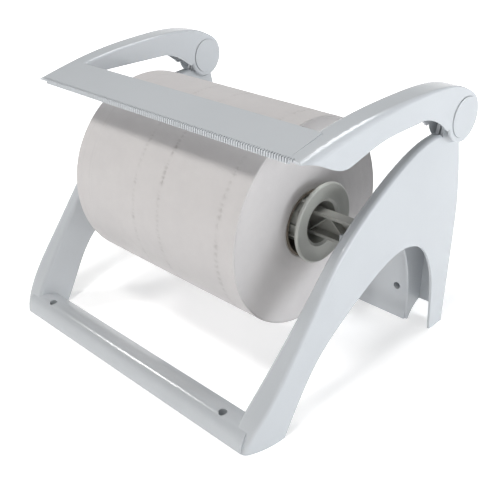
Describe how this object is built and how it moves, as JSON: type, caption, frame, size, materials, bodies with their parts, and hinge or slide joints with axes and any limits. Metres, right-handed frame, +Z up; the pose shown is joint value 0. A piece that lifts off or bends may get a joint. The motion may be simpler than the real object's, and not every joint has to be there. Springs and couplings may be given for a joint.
{
  "type": "paper towel holder",
  "caption": "Table or wall holder for a large paper towel roll, with arched side frames, a hub spindle and a hinged bail that carries a serrated tear bar.",
  "frame": {"origin": "on the table, under the middle of the holder's outline", "axes": "+X across the roll, along its spindle; -Y the front, where the paper comes off; +Y the wall side; +Z up"},
  "size_m": [0.4268, 0.3442, 0.3115],
  "materials": {
    "white_plastic": "gloss moulded, off-white",
    "grey_plastic": "satin moulded, warm grey",
    "steel": "plain",
    "paper": "soft tissue, matt",
    "cardboard": "matt"
  },
  "bodies": {
    "frame": {"right_side_frame": "white_plastic", "left_side_frame": "white_plastic", "front_crossbar": "white_plastic", "rear_crossbar": "white_plastic", "rear_crossbar_screws": "steel", "front_crossbar_screws": "steel"},
    "bail": {"tear_bail": "white_plastic", "right_hinge_pin": "steel", "right_outer_hinge_cap": "white_plastic", "right_inner_hinge_cap": "white_plastic", "left_hinge_pin": "steel", "left_outer_hinge_cap": "white_plastic", "left_inner_hinge_cap": "white_plastic"},
    "spindle": {"spindle": "grey_plastic", "right_hub_clip": "grey_plastic", "left_hub_clip": "grey_plastic"},
    "roll": {"paper_roll": "paper", "cardboard_core": "cardboard"},
    "right_hub": {"right_hub": "grey_plastic"},
    "left_hub": {"left_hub": "grey_plastic"}
  },
  "joints": [
    {"name": "bail_hinge", "type": "hinge", "parent": "frame", "child": "bail", "pos_m": [0, 0.1445, 0.271], "axis": [-1, 0, 0], "range_deg": [0, 78]},
    {"name": "spindle_lift", "type": "slide", "parent": "frame", "child": "spindle", "axis": [0, 0, 1], "range_m": [0, 0.014]},
    {"name": "roll_spin", "type": "hinge", "parent": "spindle", "child": "roll", "pos_m": [0, -0.005, 0.172], "axis": [1, 0, 0], "continuous": true},
    {"name": "right_hub_spin", "type": "hinge", "parent": "spindle", "child": "right_hub", "pos_m": [0, -0.005, 0.178], "axis": [1, 0, 0], "continuous": true},
    {"name": "left_hub_spin", "type": "hinge", "parent": "spindle", "child": "left_hub", "pos_m": [0, -0.005, 0.178], "axis": [1, 0, 0], "continuous": true}
  ],
  "couplings": [
    {"joint": "right_hub_spin", "follows": "roll_spin", "ratio": 1.2234},
    {"joint": "left_hub_spin", "follows": "roll_spin", "ratio": 1.2234}
  ]
}
